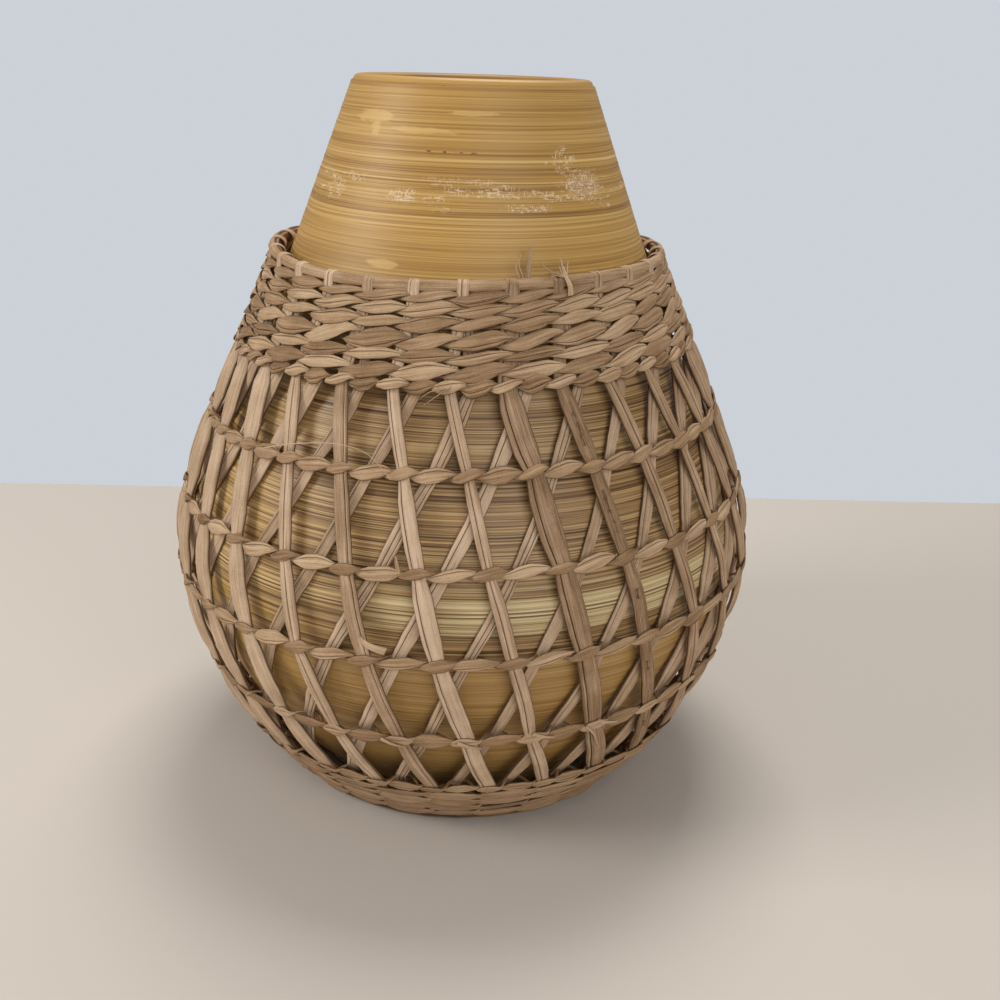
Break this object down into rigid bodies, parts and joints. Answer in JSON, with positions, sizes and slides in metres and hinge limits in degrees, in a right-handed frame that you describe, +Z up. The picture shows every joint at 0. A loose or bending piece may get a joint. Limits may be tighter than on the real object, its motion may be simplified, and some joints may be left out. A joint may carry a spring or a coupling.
{
  "type": "bamboo vase",
  "caption": "Bellied vase of spun bamboo strip with a straight tapered neck and an open mouth, standing in an openwork basket sleeve of twined seagrass leaf on a flat mat.",
  "frame": {"origin": "middle of the underside of the base mat, on the table", "axes": "+Z up along the vase's axis, -Y towards the viewer of the picture, +X to their right"},
  "size_m": [0.2158, 0.2159, 0.25],
  "materials": {
    "bamboo": "golden-brown spun bamboo strip with fine level lines, clear satin lacquer",
    "stakes": "dried flat seagrass leaf, pinkish brown, matt with fine lengthwise lines",
    "strands": "twined dried seagrass leaf, pinkish brown, matt with a faint sheen",
    "mat": "plain woven seagrass base, matt"
  },
  "bodies": {
    "root": {"bamboo_vessel": "bamboo", "base_mat": "mat", "base_weaver": "strands", "base_binding_row": "strands", "twined_row_1": "strands", "twined_row_2": "strands", "twined_row_3": "strands", "twined_row_4": "strands", "collar_row_1": "strands", "collar_row_2": "strands", "collar_row_3": "strands", "collar_row_4": "strands", "collar_row_5": "strands", "collar_row_6": "strands", "collar_row_7": "strands", "rim_roll": "strands", "stake_01": "stakes", "stake_02": "stakes", "stake_03": "stakes", "stake_04": "stakes", "stake_05": "stakes", "stake_06": "stakes", "stake_07": "stakes", "stake_08": "stakes", "stake_09": "stakes", "stake_10": "stakes", "stake_11": "stakes", "stake_12": "stakes", "stake_13": "stakes", "stake_14": "stakes", "stake_15": "stakes", "stake_16": "stakes", "stake_17": "stakes", "stake_18": "stakes", "stake_19": "stakes", "stake_20": "stakes", "stake_21": "stakes", "stake_22": "stakes", "stake_23": "stakes", "stake_24": "stakes", "stake_25": "stakes", "stake_26": "stakes", "stake_27": "stakes", "stake_28": "stakes", "stake_29": "stakes"}
  },
  "joints": []
}
